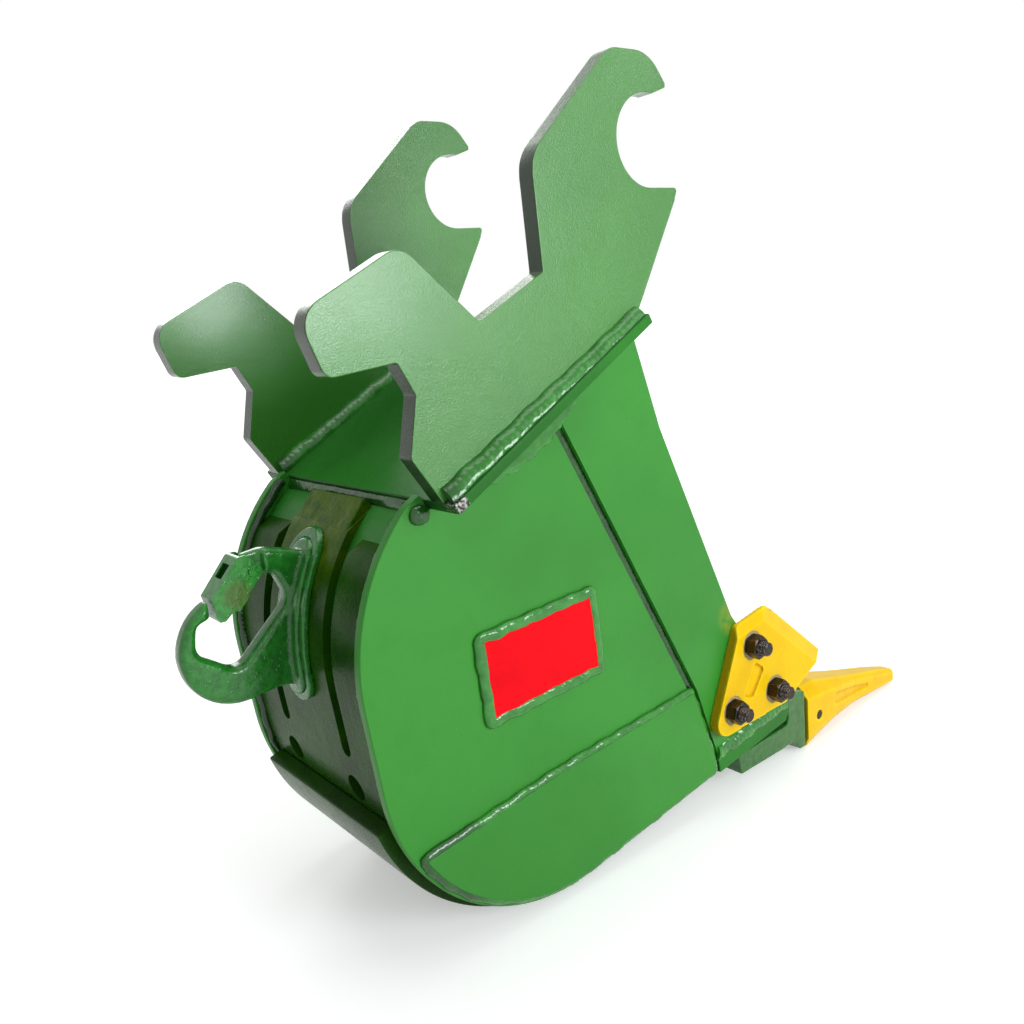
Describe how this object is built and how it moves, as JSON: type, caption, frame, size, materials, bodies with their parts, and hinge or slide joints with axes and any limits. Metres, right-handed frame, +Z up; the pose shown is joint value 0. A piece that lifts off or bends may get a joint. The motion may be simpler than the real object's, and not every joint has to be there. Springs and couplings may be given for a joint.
{
  "type": "trenching bucket",
  "caption": "Narrow trenching bucket with hook-on coupler ears, teeth on weld-on adapters, bolted side cutters and a lifting hook with a sprung latch.",
  "frame": {"origin": "axis of the coupler hooks, half way between the two ears", "axes": "+X forward to the teeth, +Y to the left side, +Z up with the bucket standing on heel and teeth"},
  "size_m": [0.9425, 0.346, 0.7815],
  "materials": {
    "green_paint": "gloss",
    "yellow_paint": "gloss",
    "red_paint": "gloss",
    "dark_steel": "satin",
    "plated_steel": "satin"
  },
  "bodies": {
    "bucket": {"top_plate": "green_paint", "ear_right": "green_paint", "ear_left": "green_paint", "ear_welds": "green_paint", "side_plate_right": "green_paint", "side_plate_left": "green_paint", "side_bar_right": "green_paint", "side_bar_left": "green_paint", "side_seam_right": "green_paint", "side_seam_left": "green_paint", "shell": "green_paint", "back_wear_plate": "green_paint", "heel_wear_strip": "green_paint", "lip_plate": "green_paint", "lip_welds": "green_paint", "side_wear_plate_right": "green_paint", "side_wear_plate_left": "green_paint", "wear_plate_welds": "green_paint", "name_plate_welds": "green_paint", "top_plate_welds": "green_paint", "back_welds": "green_paint", "adapter_right": "green_paint", "adapter_left": "green_paint", "lifting_hook": "green_paint", "hook_foot_weld": "green_paint", "tooth_right": "yellow_paint", "tooth_left": "yellow_paint", "side_cutter_right": "yellow_paint", "side_cutter_left": "yellow_paint", "name_plate": "red_paint", "cutter_bolts_right": "dark_steel", "cutter_bolts_left": "dark_steel", "cutter_nuts_right": "dark_steel", "cutter_nuts_left": "dark_steel", "tooth_pins": "dark_steel"},
    "latch": {"hook_latch": "green_paint", "latch_pin": "plated_steel", "latch_spring": "plated_steel"}
  },
  "joints": [
    {"name": "latch_pivot", "type": "hinge", "parent": "bucket", "child": "latch", "pos_m": [-0.369, 0, -0.33299], "axis": [0, -1, 0], "range_deg": [0, 35], "stiffness_Nm_per_rad": 0.15, "springref_deg": -34.38}
  ]
}
